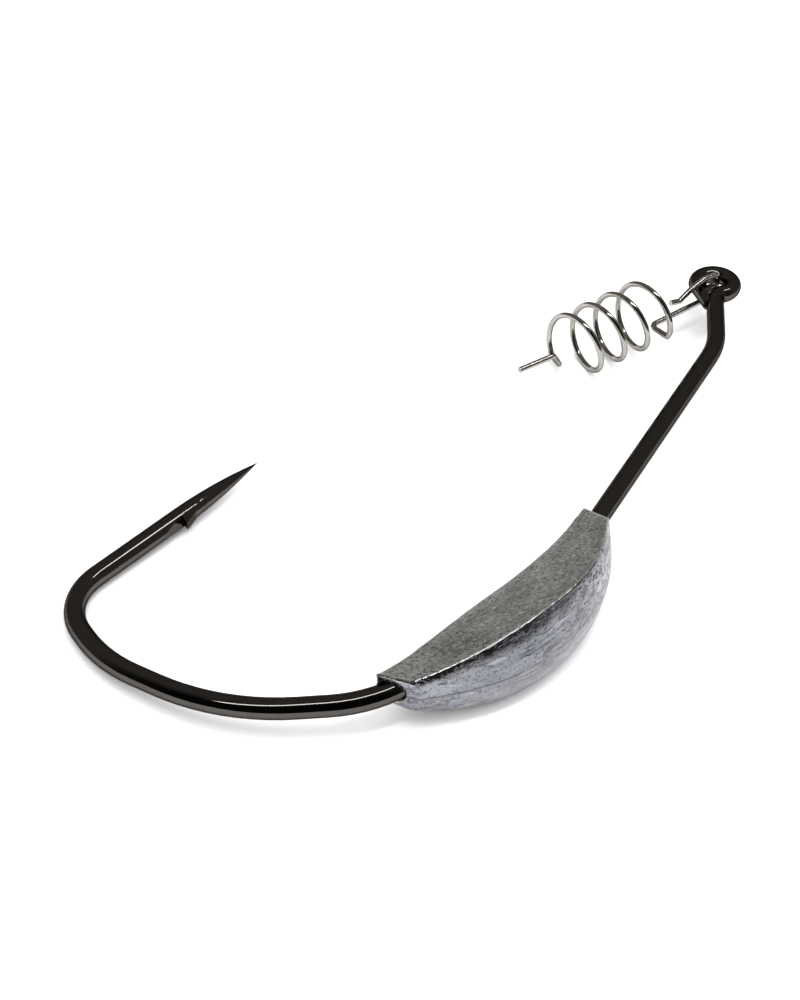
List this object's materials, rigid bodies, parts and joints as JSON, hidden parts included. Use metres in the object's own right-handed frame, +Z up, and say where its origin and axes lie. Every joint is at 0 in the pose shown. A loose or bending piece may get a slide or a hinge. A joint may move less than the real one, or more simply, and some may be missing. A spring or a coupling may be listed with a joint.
{
  "type": "weighted wide-gap bait hook",
  "caption": "Wide-gap fishing hook with a keel weight cast on its belly and a corkscrew bait keeper swinging from its eye.",
  "frame": {"origin": "centre of the footprint, on the surface that the hook lies on", "axes": "+X along the shank towards the eye, +Y across the gap from the shank to the point, +Z up from the surface; the hook lies on its side, with its screw on the surface and its weight and bend within 0.15 mm of it"},
  "size_m": [0.085, 0.0436, 0.0096],
  "materials": {
    "hook_wire": "black nickel plate, glossy",
    "cast_weight": "bare cast lead alloy, satin and slightly pitted",
    "resin": "glossy black resin",
    "keeper_wire": "bright drawn stainless wire"
  },
  "bodies": {
    "hook_body": {"hook": "hook_wire", "keel_weight": "cast_weight", "eye_resin": "resin"},
    "keeper": {"screw_keeper": "keeper_wire"}
  },
  "joints": [
    {"name": "keeper_swing", "type": "hinge", "parent": "hook_body", "child": "keeper", "pos_m": [0.03952, -0.01248, 0.00494], "axis": [-0.0122, 0.0863, 0.9962], "range_deg": [-270, 16]}
  ]
}
